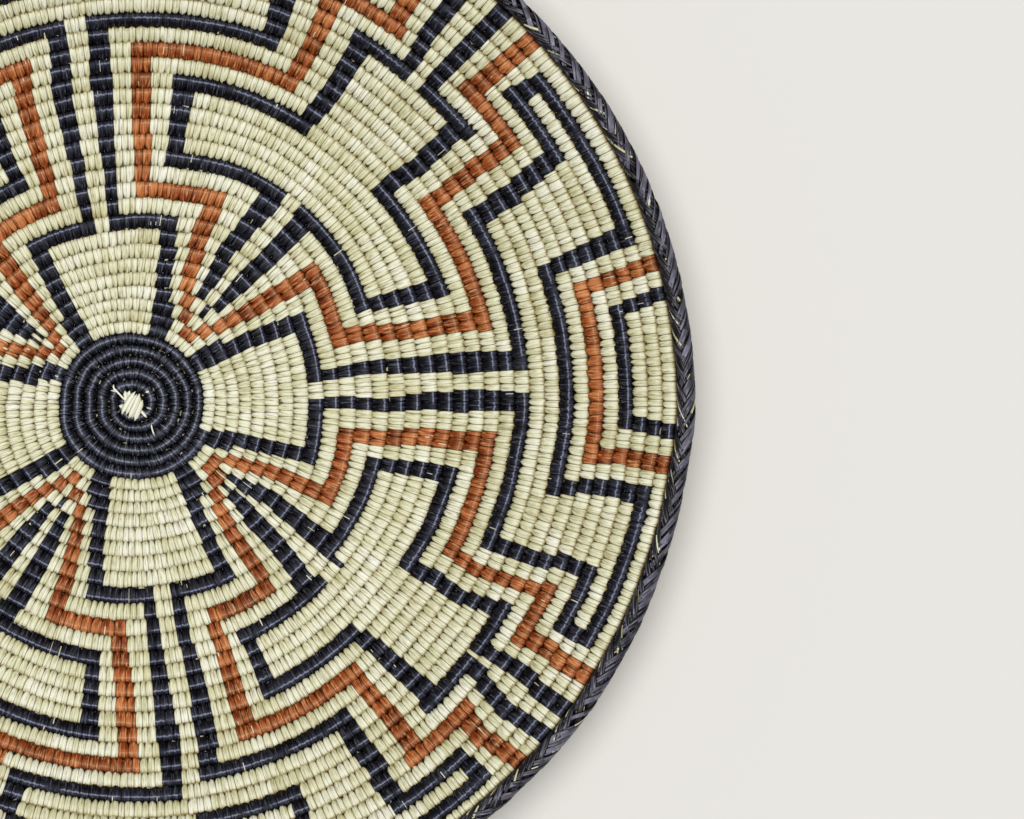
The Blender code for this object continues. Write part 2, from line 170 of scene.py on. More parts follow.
# How far the hand-laid bars stray from the drawing on either half of an arm, in degrees: at a turn, at
# the arm's axis, midway and at the corner. They were typed from a list of how far each edge of the drawn
# bars lay from the photograph's, rounded and smoothed.
STRAYS = {
    (1, -1): ((7, 0, -1, -1.6), (8, 0, -0.5, -0.9), (9, 0, 0, -0.6), (10, 0, -0.6, 0.3),
              (12, 0, -0.3, 0.9), (13, 0.2, 0.3, 0.9), (14, 0.4, 1.1, 0.5), (15, 0.5, 1.1, 0.3),
              (16, 0.6, 0.2, 0.3), (17, 1, 0.4, 0.2), (18, 0.7, 0.9, -1.2), (20, 0.9, 0.6, 0),
              (22, 0.9, 0.3, 0), (25, 0.4, 0.3, 0), (27, 0, -0.5, -0.5), (28, 0, -2, -2),
              (30, 0, -2, -2), (31, 0, 0, 0)),
    (1, 1): ((7, 0, -0.2, 0), (8, 0, -0.7, 0), (10, 0, -0.9, 1), (11, 0, -1.3, 0),
             (12, 0, -0.9, 0), (13, 0, -1.4, -0.7), (14, 0, -0.9, -0.3), (15, 0, 0, -0.6),
             (16, -0.3, 1, -0.9), (17, -0.4, 0.8, -0.9), (18, 0, -1.6, -0.9), (19, 0.5, -0.8, -0.5),
             (20, 0.6, 0.4, 0.8), (23, 1, 0.5, 1), (25, 1, 1.8, 1.7), (26, 0.6, 1.2, 2.2),
             (28, 0, 0.9, 2.9), (29, 0, 0.4, 2.8), (30, 0, 0.3, 1.4), (31, 0, 0, 1),
             (32, 0, -1, 0.2), (34, 0, -1.2, -0.6), (35, 0, 0.5, -0.5), (37, 0, 2, -0.3)),
    (2, -1): ((6, 0, -3.5, -2), (7, 0, -1.5, -2), (8, 0, 0, -5), (9, 0, 0.2, -3.2),
              (10, 0, 0.2, -3.8), (12, 0, 0.2, -0.8), (13, 0, 0.2, 0.2), (14, 0, 0, -0.3),
              (15, 0.5, -0.4, 0), (16, 0.3, 0, -0.2), (17, -0.6, 1.1, 0), (18, -1, 0.5, 0.3),
              (21, -0.2, 0, 0), (23, -0.9, -0.7, -0.7), (25, -0.9, -0.9, -0.8), (26, -0.7, -1.7, -1.7),
              (27, -0.6, -2.5, -2), (28, -0.5, -2.5, -1.8), (30, -0.3, -2.5, -0.4), (31, 0.2, -2.1, 0),
              (32, 0, -1, 0), (33, 0.3, -0.8, 0.1), (34, 0.7, -0.6, 0), (35, 0.8, -0.9, -0.6),
              (37, 0.6, -1, -0.6)),
    (2, 1): ((7, 0, -1.5, 0), (10, 0.6, 0, 0.6), (11, 0.3, -0.5, 0.6), (13, -0.2, -0.6, 0.6),
             (14, -0.5, -0.9, 0), (17, 0.4, -0.1, -0.3), (18, 0.3, -0.1, 0), (19, 0, -0.8, 0),
             (21, -0.3, -0.8, 0), (24, -0.3, -0.3, 0.2), (26, 0, 0, -0.4), (27, 0, 0.5, 0.3),
             (29, 0, 0.5, 0.8), (30, 0, 0, 0), (37, 0, 0, -0.3)),
    (3, -1): ((6, 0, 2, 3.8), (7, 0, 1.8, 2.6), (8, 0.6, 2, 2.8), (9, 0.6, 0.8, 1.2),
              (10, 0.8, 1.6, 2.3), (11, 0.8, 1.9, 1.8), (12, 0.8, 1.2, 2.2), (13, 1, 2, 2.8),
              (14, 1.2, 2.2, 1.7), (15, 1.3, 0.9, 1.4), (16, 1, 1.6, 0.4), (17, 0.4, 2.6, -0.4),
              (18, 0.6, 1.4, 0.4), (19, 0.9, 0.3, 0), (20, 0.5, 0.5, 0), (22, 0.2, -0.4, 0),
              (24, -0.3, -0.6, 0.4), (25, -0.6, -1.6, 0), (26, -0.6, -2.6, -0.1), (28, 0, -3.2, -0.2),
              (30, 0, -2, -0.3), (31, 0, -1.3, -0.2), (33, 0, 0, 0.4)),
    (3, 1): ((7, 0, -0.2, -0.9), (8, 0, 0.5, 0.8), (10, 0, 1, 4.8), (12, 0, 0.9, 5),
             (13, 0, 0.8, 4.4), (14, 0, 0.9, 3.9), (15, 0.2, 0.9, 5), (16, 0.6, 0.3, 1.5),
             (17, 0.6, -0.8, 1), (18, 0.2, -0.5, 0.8), (19, 0.6, 0.2, 0.4), (20, 0.3, 0.6, 0),
             (23, 0.9, 0.6, 0), (25, 0.3, 0.3, 0), (27, 0.3, 0, 0)),
    (4, -1): ((6, 0, -4, 0), (7, 0, -3.2, 0), (8, 0, 1.5, 0), (9, 0, 0, -1),
              (10, 0, 1, -2), (12, 0, 0, 0)),
}


def smooth(x):
    x = np.clip(x, 0.0, 1.0)
    return x * x * (3.0 - 2.0 * x)


def wander(points, angle):
    """A closed curve through points of (degrees, metres), eased between them."""
    angle = (np.asarray(angle, float) + 180.0) % 360.0 - 180.0
    degrees = np.array([points[-1][0] - 360.0] + [p[0] for p in points] + [points[0][0] + 360.0])
    out = np.array([points[-1][1]] + [p[1] for p in points] + [points[0][1]])
    after = np.clip(np.searchsorted(degrees, angle), 1, len(degrees) - 1)
    share = (angle - degrees[after - 1]) / (degrees[after] - degrees[after - 1])
    return out[after - 1] + (out[after] - out[after - 1]) * smooth(share)


def pitch_at(turn):
    grown = smooth((turn - THICKENS_FROM) / (THICKENS_TO - THICKENS_FROM))
    to_rim = smooth((turn - THICKENS_TO) / (LAST_TURN - THICKENS_TO))
    return PITCH_CENTRE + (PITCH_BASE - PITCH_CENTRE) * grown + (PITCH_RIM - PITCH_BASE) * to_rim


def slope_at(turn):
    return WALL_SLOPE * smooth((turn - SLOPE_FROM) / (SLOPE_TO - SLOPE_FROM))


def bowl_profile():
    """Radius and height of each whole turn at the counting angle."""
    steps = 20
    radius, height = FIRST_TURN_RADIUS, 0.0
    turns = [(FIRST_TURN_RADIUS - PITCH_CENTRE, 0.0), (radius, height)]
    for turn in range(1, LAST_TURN + 2):
        for step in range(steps):
            middle = turn + (step + 0.5) / steps
            radius += pitch_at(middle) * math.cos(slope_at(middle)) / steps
            height += pitch_at(middle) * math.sin(slope_at(middle)) / steps
        turns.append((radius, height))
    return np.array(turns)


PROFILE = bowl_profile()


def turn_place(turn, angle):
    """Radii and heights of the middle of a turn at an array of angles."""
    angle = np.asarray(angle, float)
    radius, height = PROFILE[turn]
    span = CATCH_UP_TO - CATCH_UP_FROM
    climb = np.where(angle < 0.0, smooth((angle + 360.0 - CATCH_UP_FROM) / span) - 1.0,
                     smooth((angle - CATCH_UP_FROM) / span))
    to_base = smooth((radius - DISC_REACH) / (BASE_REACH - DISC_REACH))
    to_wall = smooth((radius - BASE_END) / (WALL_REACH - BASE_END))
    disc = wander(DISC_WANDER, angle) * min(1.0, radius / DISC_REACH)
    base = wander(BASE_WANDER, angle)
    shift = (disc + (base - disc) * to_base) * (1.0 - to_wall) + wander(WALL_WANDER, angle) * to_wall
    onwards = PROFILE[min(turn + 1, LAST_TURN + 1)][0] - radius
    back = radius - PROFILE[turn - 1][0]
    moved = shift + np.where(climb >= 0.0, climb * onwards, climb * back)
    return np.stack((radius + moved, height + moved * math.tan(slope_at(turn))), axis=-1)


def rim_place(angle):
    """Radii and heights of the rim's middle, past the last turn along the wall."""
    slope = slope_at(LAST_TURN)
    shift = wander(RIM_WANDER, angle)
    radius, height = PROFILE[LAST_TURN]
    return np.stack((radius + RIM_STEP * math.cos(slope) + shift,
                     height + RIM_STEP * math.sin(slope) + shift * math.tan(slope)), axis=-1)


def shifted(place, angle, turn):
    """A row's edge moved aside along the wall."""
    curves = [[(row[0], row[n] * 0.0001) for row in ASIDE] for n in range(1, len(ASIDE_AT) + 1)]
    shifts = [wander(curve, angle) for curve in curves]
    shift = np.zeros(len(place))
    for n, radius in enumerate(ASIDE_AT):
        before = ASIDE_AT[n - 1] if n else 0.0
        after = ASIDE_AT[n + 1] if n + 1 < len(ASIDE_AT) else 1.0
        shift += shifts[n] * np.interp(place[:, 0], (before, radius, after), (0.0, 1.0, 0.0))
    return place + np.stack((shift, shift * math.tan(slope_at(turn))), axis=-1)


def row_edges(turn, angle):
    """Where a row meets the rows beside it: its inner and outer edge, as radius and height."""
    here = turn_place(turn, angle)
    if turn > 1:
        inner = shifted((turn_place(turn - 1, angle) + here) / 2.0, angle, turn)
    else:
        inner = shifted(here - (PITCH_CENTRE / 2.0, 0.0), angle, turn)
    if turn < LAST_TURN:
        return inner, shifted((turn_place(turn + 1, angle) + here) / 2.0, angle, turn)
    slope = slope_at(turn)
    under_rim = rim_place(angle) - np.array((math.cos(slope), math.sin(slope))) * BRAID_RADIUS
    onwards = here + np.array((math.cos(slope), math.sin(slope))) * PITCH_RIM / 2.0
    to_rim = smooth((np.asarray(angle) - MEETS_RIM_FROM) / MEETS_RIM_OVER)[..., None]
    return inner, onwards + (under_rim - onwards) * to_rim


def axis_at(path, row):
    rows, degrees = zip(*path)
    return float(np.interp(row, rows, degrees))


def half_arm(row):
    """A pattern row's bars on half an arm: start, end and colour, in degrees from the arm's axis."""
    bars = [(start, end, colour) for colour, at, start, end in RUNGS if at == row]
    for colour, first, last, low, high in UPRIGHTS:
        if first <= row <= last:
            share = (row - first) / (last - first)
            bars.append((low[0] + (high[0] - low[0]) * share, low[1] + (high[1] - low[1]) * share, colour))
    return bars


def stray(half, turn, share):
    """How far a bar strays at a turn, at a share of the way from an arm's axis to the corner."""
    if half not in STRAYS:
        return 0.0
    turns, *shifts = zip(*STRAYS[half])
    return float(np.interp(share, (0.0, 0.5, 1.0), [np.interp(turn, turns, shift) for shift in shifts]))


def pattern_row(row, turn):
    """All bars of a pattern row round the basket, laid on the axes as they lie at a turn."""
    drawn = axis_at(CORNERS[3], row) - axis_at(ARMS[2], row)
    bars = []
    for number, way in [(n, w) for n in range(len(ARMS)) for w in (-1, 1) if n + max(w, 0) < len(CORNERS)]:
        arm, corner = axis_at(ARMS[number], turn), axis_at(CORNERS[number + max(way, 0)], turn)
        width = abs(corner - arm)
        for start, end, colour in half_arm(row):
            edges = []
            for edge in (start, end):
                if edge > drawn - NEAR_CORNER:
                    edge = width - (drawn - edge)
                elif edge > NEAR_ARM:
                    edge = NEAR_ARM + (edge - NEAR_ARM) * (width - NEAR_ARM - NEAR_CORNER) / (
                        drawn - NEAR_ARM - NEAR_CORNER)
                edges.append(arm + way * edge + stray((number, way), turn, edge / width))
            bars.append((min(edges), max(edges), colour))
    return bars


def row_seams(turn):
    """Where a turn changes from one pattern row to the next: list of (from, to, pattern row)."""
    seam = next(side for last, side in SEAMS if turn <= last)
    return (-180.0, seam, turn - 1), (seam, TAIL_END, turn)


def colours_round(turn):
    """A turn's colours as (start, end, colour) with no gaps."""
    first = FIRST_END if turn == 1 else -180.0
    last = TAIL_END if turn == LAST_TURN else 180.0
    if turn <= DISC_TURNS:
        return [(first, last, "black")]
    spans = []
    for seam_start, seam_end, row in row_seams(turn):
        low, high = max(first, seam_start), min(last, seam_end)
        if row <= DISC_TURNS:
            spans.append((low, high, "black"))
            continue
        at = low
        for start, end, colour in sorted(pattern_row(row, turn)):
            start, end = max(start, at), min(end, high)
            if end - start < SHORTEST_BAR:
                continue
            if start > at:
                spans.append((at, start, "natural"))
            spans.append((start, end, colour))
            at = end
        if high > at:
            spans.append((at, high, "natural"))
    joined = [spans[0]]
    for span in spans[1:]:
        start, end, colour = joined[-1]
        if colour == span[2] or span[1] - span[0] < SHORTEST_SPAN:
            joined[-1] = (start, span[1], colour)
        else:
            joined.append(span)
    return joined


def sew_turn(turn):
    """A turn's stitches: their edges in degrees, their colours, the depth of the crease before each, and
    whether it is a sliver of the foundation. Every colour gets whole stitches."""
    edges, colours, creases, bare = [], [], [], []
    for start, end, colour in colours_round(turn):
        radius = float(turn_place(turn, np.array([(start + end) / 2.0]))[0, 0])
        usual, passes, shallow, deep, slivers = SEWING["disc" if turn <= DISC_TURNS else colour]
        usual *= float(np.interp(turn, WIDER_TURNS, WIDER_BY))
        count = max(1, round(math.radians(end - start) * radius / usual))
        widths, left = [], 0
        for _ in range(count):
            widths.append(rng.uniform(*PASS_VARIES) * usual)
            bare.append(False)
            creases.append(rng.uniform(*(shallow if left else deep)))
            left = left - 1 if left else int(rng.integers(passes[0], passes[1] + 1)) - 1
            if rng.random() < slivers:
                widths.append(SLIVER * rng.uniform(*SLIVER_VARIES))
                bare.append(True)
                creases.append(rng.uniform(*shallow))
        ends = np.cumsum(widths) / np.sum(widths)
        edges.extend(start + (end - start) * np.concatenate(([0.0], ends[:-1])))
        colours.extend([colour] * len(widths))
        last = end
    return np.array(edges + [last]), colours, creases, bare


# A stitch round the coil, as (outwards, upwards) in half widths and half heights of the row, from its outer
# side over the top to the tongue that bites over the row before. First a stitch's middle, then the crease
# between two stitches, and how bright the finish paints either, from a crest at 1 to a hole at 0: painted
# shade, darker in the creases and in the gaps between rows.
CREST = np.array(((1.05, 0.10), (1.02, 0.48), (0.84, 0.79), (0.46, 0.98), (-0.10, 0.99), (-0.56, 0.92),
                  (-0.95, 0.82), (-1.22, 0.78)))
CREASE = np.array(((1.03, 0.06), (0.98, 0.38), (0.78, 0.62), (0.44, 0.82), (-0.12, 0.80), (-0.50, 0.56),
                   (-0.70, 0.14), (-0.76, -0.15)))
CREST_LIGHT = np.array((0.10, 0.42, 0.84, 1.00, 1.00, 0.94, 0.85, 0.74))
CREASE_LIGHT = np.array((0.00, 0.06, 0.14, 0.20, 0.20, 0.06, 0.00, 0.00))
SHOULDER = np.array((0.97, 0.98, 0.99, 0.99, 0.98, 0.93, 0.84, 0.68))  # how full it is beside a crease
TONGUE = np.array((0.0, 0.0, 0.0, 0.0, 0.0, 0.25, 0.8, 1.0))  # what a tongue's length moves
UNDER = (7, 5, 3, 2, 0)  # the same points again underneath, fewer of them
COLUMNS = (0.0, 0.17, 0.83)  # a stitch's sections, as shares of its width: its crease, then its two sides
KINDS = ("natural", "black", "rust")

# How stitches differ from each other.
HEIGHT_SPREAD = 0.035
EVEN_PLACE, LOOSE_PLACE = 0.012, 0.045  # spread across the row, of the black stitches and of the others
TONGUE_LENGTH, TONGUE_PULL = (0.60, 1.25), 0.3
STITCH_LEAN = (0.10, 0.16)  # usual lean and its spread, in stitch widths
RUN_ENDS = 0.08  # how often a run of stitches of one tone ends
TIP_DEPTH, TIP_POWER = 0.65, 2.5  # how far a tongue draws back beside an opening, and how suddenly
TIP_SKEW = (0.6, 1.6)  # a tip's middle lies to one side of it or the other
CENTRE_LIGHT_POWER = 1.9  # deepens the painted shade of the small rows at the centre, darkest in the gaps between them
LEAN_REACH = 1.4  # half widths inwards of the row's middle at which a stitch leans in full
TIP_FACE, SLIVER_FACES, SLIVER_LENGTHS = 6, 6, 4  # faces across a row where pale leaf shows
MERGE_DISTANCE = 0.000001


def ring_of(top):
    """Points over the top and again underneath, as one ring."""
    under = top[..., UNDER, :].copy()
    under[..., 1] *= -1.0
    return np.concatenate((top, under), axis=-2)


def closed_tube(name, rings, uvs, colours, kinds):
    """A closed tube through rings of points. The grid's two long edges are merged and its ends filled.

    rings (columns, points, 3); uvs and colours are values at each column and point, colours' stitch
    values are given for each column and hold as far as the next column; kinds picks a face's material.
    """
    columns, points = rings.shape[:2]
    shape = bmesh.new()
    bmesh.ops.create_grid(shape, x_segments=columns - 1, y_segments=points, size=1.0)
    mesh = bpy.data.meshes.new(name)
    shape.to_mesh(mesh)
    shape.free()
    flat = np.empty(len(mesh.vertices) * 3)
    mesh.vertices.foreach_get("co", flat)
    flat = flat.reshape(-1, 3)
    column = np.rint((flat[:, 0] + 1.0) / 2.0 * (columns - 1)).astype(int)
    place = np.rint((flat[:, 1] + 1.0) / 2.0 * points).astype(int)
    mesh.vertices.foreach_set("co", rings[column, place % points].ravel())
    corners = np.empty(len(mesh.loops), int)
    mesh.loops.foreach_get("vertex_index", corners)
    corners = corners.reshape(-1, 4)
    face_column = column[corners].min(axis=1)
    face_place = place[corners].min(axis=1)
    layer = mesh.uv_layers.new(name="strip")
    uv = np.stack((uvs[0][place[corners] % points], uvs[1][column[corners]]), axis=-1)
    layer.data.foreach_set("uv", uv.ravel())
    sewing = mesh.color_attributes.new("sewing", "FLOAT_COLOR", "CORNER")
    stitch, tone, light = colours
    colour = np.stack((np.repeat(stitch[face_column][:, None], 4, 1),
                       np.repeat(tone[face_column][:, None], 4, 1),
                       light[column[corners], place[corners] % points],
                       np.ones(corners.shape)), axis=-1)
    sewing.data.foreach_set("color", colour.ravel())
    mesh.polygons.foreach_set("material_index", kinds(face_column, face_place).astype(np.int32))
    shape = bmesh.new()
    shape.from_mesh(mesh)
    bmesh.ops.remove_doubles(shape, verts=shape.verts, dist=MERGE_DISTANCE)
    bmesh.ops.holes_fill(shape, edges=[e for e in shape.edges if e.is_boundary], sides=0)
    bmesh.ops.recalc_face_normals(shape, faces=shape.faces)
    if shape.calc_volume(signed=True) < 0.0:
        bmesh.ops.reverse_faces(shape, faces=shape.faces)
    shape.to_mesh(mesh)
    shape.free()
    mesh.shade_smooth()
    return mesh


def place_object(name, data):
    made = bpy.data.objects.new(name, data)
    bpy.context.scene.collection.objects.link(made)
    return made


def add_piece(name, mesh, materials):
    piece = place_object(name, mesh)
    for finish in materials:
        mesh.materials.append(finish)
    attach(piece, "root")
    return piece


def sewn_rows(first, last):
    """The sewing of some turns. For each column: its angle, turn, share of the way across its stitch, and
    stitch. For each stitch: its colour, width in degrees, crease before it, and whether it is a sliver."""
    turns, angles, colours, widths, deep, bare = [], [], [], [], [], []
    for turn in range(first, last + 1):
        edges, kinds, creases, slivers = sew_turn(turn)
        steps = np.diff(edges)
        angles.append((edges[:-1, None] + steps[:, None] * COLUMNS).ravel())
        turns.append(np.full(len(steps) * len(COLUMNS), turn))
        colours.extend(kinds)
        widths.extend(steps)
        deep.extend(creases)
        bare.extend(slivers)
    count = len(colours)
    angle = np.append(np.concatenate(angles), edges[-1])
    turn_of = np.append(np.concatenate(turns), last)
    share = np.append(np.tile(COLUMNS, count), 0.0)
    stitch = np.append(np.repeat(np.arange(count), len(COLUMNS)), count - 1)
    return (angle, turn_of, share, stitch), (np.array(colours), np.array(widths), np.append(deep, 1.0), bare)


def cushions(columns, dark, widths, deep):
    """A section of the coil's skin at each column and how bright it lies, and for each stitch its lean in
    degrees and its tone, alone and in a run of stitches."""
    angle, turn_of, share, stitch = columns
    count = len(dark)
    height = rng.normal(1.0, HEIGHT_SPREAD, count)
    shove = rng.normal(0.0, 1.0, count) * np.where(dark, EVEN_PLACE, LOOSE_PLACE)
    tongue = rng.uniform(*TONGUE_LENGTH, count)
    lean = rng.normal(*STITCH_LEAN, count) * widths
    alone = rng.random(count)
    runs = np.cumsum(rng.random(count) < RUN_ENDS)
    tone = rng.random(runs[-1] + 1)[runs]

    middle = np.broadcast_to(CREST, (len(angle), len(CREST), 2)).copy()
    middle[:, :, 1] *= height[stitch][:, None]
    middle[:, :, 0] += shove[stitch][:, None] - TONGUE_PULL * (tongue[stitch] - 1.0)[:, None] * TONGUE
    before = deep[np.where(share > 0.5, stitch + 1, stitch)]
    full = np.where((share == 0.0)[:, None], 0.0, SHOULDER)
    # A stitch's tongue ends in a round or pointed tip: it draws back towards the openings beside it.
    turned = angle + 360.0 * turn_of
    openings = turned[np.flatnonzero(deep > OPENING) * len(COLUMNS)]
    part = np.interp(turned, openings, np.arange(len(openings)))
    skew = rng.uniform(*TIP_SKEW, len(openings))[part.astype(int)]
    aside = np.abs((part % 1.0) ** skew - 0.5) * 2.0
    sunk = np.maximum((1.0 - full) * before[:, None], TIP_DEPTH * TONGUE * aside[:, None] ** TIP_POWER)
    # Painted shade: each point's brightness, full on a crest and falling into the creases and holes, which
    # the finish turns into darker colour.
    light = CREST_LIGHT + (CREASE_LIGHT - CREST_LIGHT) * np.clip(sunk, 0.0, 1.0)
    # The small rows at the centre get deeper painted shade.
    if turn_of[0] == 1:
        light = light ** CENTRE_LIGHT_POWER
    light = np.concatenate((light, light[:, UNDER]), axis=1)
    sections = ring_of(middle + (CREASE - middle) * sunk[:, :, None])
    sections[:, :, 1] = np.maximum(sections[:, :, 1], -1.0)
    return sections, light, lean, alone, tone


def lay_on_coil(sections, angle, turn_of, lean):
    """The sections' points where they lie on the coil, and how far along it each is."""
    inner, outer = np.empty((len(angle), 2)), np.empty((len(angle), 2))
    for turn in range(turn_of[0], turn_of[-1] + 1):
        here = turn_of == turn
        inner[here], outer[here] = row_edges(turn, angle[here])
    slope, pitch = slope_at(turn_of), pitch_at(turn_of)
    half = np.linalg.norm(outer - inner, axis=1) / 2.0
    centre = (inner + outer) / 2.0
    lift = np.where(centre[:, 1] > 0.0, BED, BED_SHARE * (pitch - TURN_GAP) / 2.0)
    x = sections[:, :, 0] * half[:, None]
    z = sections[:, :, 1] * lift[:, None] * np.where(sections[:, :, 1] > 0.0, FULL_TOP, 1.0)
    level = centre[:, 1] + lift
    radius = centre[:, None, 0] + x * np.cos(slope)[:, None] - z * np.sin(slope)[:, None]
    height = level[:, None] + x * np.sin(slope)[:, None] + z * np.cos(slope)[:, None]
    inward = np.clip(-sections[:, :, 0], 0.0, LEAN_REACH) / LEAN_REACH
    around = np.radians(angle[:, None] + lean[:, None] * inward)
    points = np.stack((radius * np.cos(around) + LEAN * level[:, None], radius * np.sin(around), height),
                      axis=-1)
    steps = np.radians(np.clip(np.diff(angle), 0.0, None)) * centre[1:, 0]
    return points, np.append(0.0, np.cumsum(steps))


def pale_faces(bare, dark, first):
    """The first and last face across each stitch that shows pale leaf: along one to four faces on a sliver,
    at the tip of a few black stitches, and nowhere on the others."""
    count = len(bare)
    tips = dark & (rng.random(count) < (4.0 * PALE_TIPS if first == 1 else PALE_TIPS))
    start = np.where(bare, rng.integers(0, SLIVER_FACES, count), len(CREST) + len(UNDER))
    end = start + rng.integers(0, SLIVER_LENGTHS, count)
    start[tips], end[tips] = TIP_FACE, TIP_FACE
    return start, end


def coil_piece(name, first, last, node):
    """The sewn skin of some turns: one closed tube with a cushion for each stitch."""
    columns, (colours, widths, deep, bare) = sewn_rows(first, last)
    angle, turn_of, _, stitch = columns
    dark = colours == "black"
    sections, light, lean, alone, tone = cushions(columns, dark, widths, deep)
    rings, along = lay_on_coil(sections, angle, turn_of, lean[stitch])
    across = ring_of(np.stack((np.linspace(0.0, 1.0, len(CREST)), np.ones(len(CREST))), axis=-1))[:, 0]
    kind = np.array([KINDS.index(colour) for colour in colours])
    pale_from, pale_to = pale_faces(bare, dark, first)

    def finish_of(face_column, face_place):
        which = stitch[face_column]
        shows = (face_place >= pale_from[which]) & (face_place <= pale_to[which])
        return np.where(shows, 0, kind[which])

    mesh = closed_tube(name, rings, (across, along), (alone[stitch], tone[stitch], light), finish_of)
    piece = add_piece(name, mesh,
                      CENTRE_STRIPS if last <= DISC_TURNS + 1 else STRIPS)
    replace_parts(piece, node)


def linear(code):
    """An sRGB hex colour as linear RGBA."""
    parts = [int(code[i:i + 2], 16) / 255.0 for i in (1, 3, 5)]
    return (*[c / 12.92 if c <= 0.04045 else ((c + 0.055) / 1.055) ** 2.4 for c in parts], 1.0)


def add_node(tree, kind, inputs=None, **settings):
    """Adds a node with its settings, and fills its inputs with values, sockets or nodes' first outputs."""
    made = tree.nodes.new("ShaderNode" + kind)
    for name, value in settings.items():
        setattr(made, name, value)
    for name, value in (inputs or {}).items():
        source = value.outputs[0] if isinstance(value, bpy.types.Node) else value
        if isinstance(source, bpy.types.NodeSocket):
            tree.links.new(source, made.inputs[name])
        else:
            made.inputs[name].default_value = source
    return made


FIBRE_SPACING = 0.0005  # about 0.3 mm in the real leaf, drawn 0.5 mm apart so that the fibres show
LINE_WAVER, LINE_PATCH = 0.0011, 0.008  # the crest line, partly painted highlight and partly leaf paled by rubbing, sways over 2 mm, and comes and goes over 8 mm


def palm_strip(name, deep, shade, dull, usual, bright, glint, edge, worn_and_highlight, roughness, gloss, wear_and_highlight=0.0,
               sheen=0.0, line_width=0.036, line_place=0.425):
    """Split palm leaf, dried and sewn on flat: fine fibres along each strip, every strip a tone of its own, a
    soft gloss, a painted highlight along each crest (a broad painted sheen band and a thin broken line, which
    is also leaf paled by rubbing), and painted shade that darkens the creases, the sides of the rows and the
    gaps between strips and rows, following the brightness channel of the sewing attribute."""
    mat = bpy.data.materials.new(name)
    mat.use_nodes = True
    tree = mat.node_tree
    shader = tree.nodes["Principled BSDF"]
    add = functools.partial(add_node, tree)
    strip = add("UVMap", uv_map="strip")
    across, along = add("SeparateXYZ", {"Vector": strip}).outputs[:2]
    sewing = add("Attribute", attribute_name="sewing")
    stitch, tone, light = add("SeparateColor", {"Color": sewing}).outputs[:3]
    fine = add("Math", {0: along, 1: 1.0 / FIBRE_SPACING}, operation="MULTIPLY")
    long = add("Math", {0: across, 1: 2.2}, operation="MULTIPLY")
    own = add("Math", {0: stitch, 1: 40.0}, operation="MULTIPLY")
    spot = add("CombineXYZ", {"X": fine, "Y": long, "Z": own})
    fibre = add("TexNoise", {"Vector": spot, "Scale": 1.0, "Detail": 2.0})
    # Leaf tones drift over about 15 mm, and each strip and run of strips adds a little of its own.
    place = add("TexCoord")
    drift = add("TexNoise", {"Vector": place.outputs["Object"], "Scale": 65.0, "Detail": 2.0})
    strips = add("Mix", {0: 0.5, 2: tone, 3: stitch}, data_type="FLOAT")
    mottle = add("Mix", {0: 0.45, 2: drift, 3: strips}, data_type="FLOAT")
    body = add("ValToRGB", {"Fac": mottle})
    ramp = body.color_ramp
    ramp.elements[0].position, ramp.elements[0].color = 0.25, linear(dull)
    ramp.elements[1].position, ramp.elements[1].color = 0.75, linear(bright)
    ramp.elements.new(0.5).color = linear(usual)
    groove = add("MapRange", {"Value": fibre, "From Min": 0.50, "From Max": 0.30, "To Max": 0.65})
    ridge = add("MapRange", {"Value": fibre, "From Min": 0.54, "From Max": 0.74, "To Max": 0.75})
    ending = add("MapRange", {"Value": across, "From Min": 0.30, "From Max": 0.12, "To Max": 0.7})
    # The crest's painted highlight: a soft painted sheen band, and on it a thin broken line that is partly
    # painted highlight and partly leaf paled by rubbing.
    waver = add("Math", {0: along, 1: LINE_WAVER}, operation="PINGPONG")
    swing = add("MapRange", {"Value": drift, "From Min": 0.40, "From Max": 0.65, "To Min": 6.0,
                             "To Max": 45.0})
    crest = add("Math", {0: waver, 1: swing, 2: line_place}, operation="MULTIPLY_ADD")
    aside = add("Math", {0: across, 1: crest}, operation="SUBTRACT")
    off = add("Math", {0: aside}, operation="ABSOLUTE")
    thin = add("MapRange", {"Value": off, "From Min": line_width, "From Max": 0.25 * line_width})
    far = add("Math", {0: along, 1: 1.0 / LINE_PATCH}, operation="MULTIPLY")
    patch = add("TexNoise", {"W": far, "Scale": 1.0}, noise_dimensions="1D")
    here = add("MapRange", {"Value": patch, "From Min": 0.28, "From Max": 0.48})
    broken = add("MapRange", {"Value": fibre, "From Min": 0.35, "From Max": 0.60, "To Min": 0.45})
    specks = add("Math", {0: here, 1: broken}, operation="MULTIPLY")
    line = add("Math", {0: thin, 1: specks}, operation="MULTIPLY")
    # Painted highlight: a broad sheen band along each crest.
    band = add("MapRange", {"Value": off, "From Min": 0.17, "From Max": 0.02, "To Max": sheen})
    both = add("Math", {0: line, 1: band}, operation="MAXIMUM")
    # How far the crest band and line lighten the leaf: painted highlight, partly also leaf paled by rubbing.
    rubbed_and_highlight = add("Math", {0: both, 1: wear_and_highlight}, operation="MULTIPLY")
    # Painted shade: the sides of each row darken toward the crease colour, and the creases and holes toward
    # the hole colour, following the brightness channel.
    painted_flank_shade = add("MapRange", {"Value": light, "From Min": 0.92, "From Max": 0.40, "To Max": 0.85})
    hole = add("MapRange", {"Value": light, "From Min": 0.56, "From Max": 0.12, "To Max": 0.98})
    leaf = body.outputs["Color"]
    for share, tint in ((groove, shade), (ridge, glint), (ending, edge), (rubbed_and_highlight, worn_and_highlight), (painted_flank_shade, shade),
                        (hole, deep)):
        leaf = add("Mix", {0: share, 6: leaf, 7: linear(tint)}, data_type="RGBA").outputs[2]
    tree.links.new(leaf, shader.inputs["Base Color"])
    rough = add("MapRange", {"Value": fibre, "From Min": 0.3, "From Max": 0.7, "To Min": roughness + 0.1,
                             "To Max": roughness - 0.08})
    tree.links.new(rough.outputs[0], shader.inputs["Roughness"])
    shader.inputs["Specular IOR Level"].default_value = gloss
    bump = add("Bump", {"Height": fibre, "Strength": 0.8, "Distance": 0.00015})
    tree.links.new(bump.outputs[0], shader.inputs["Normal"])
    return mat
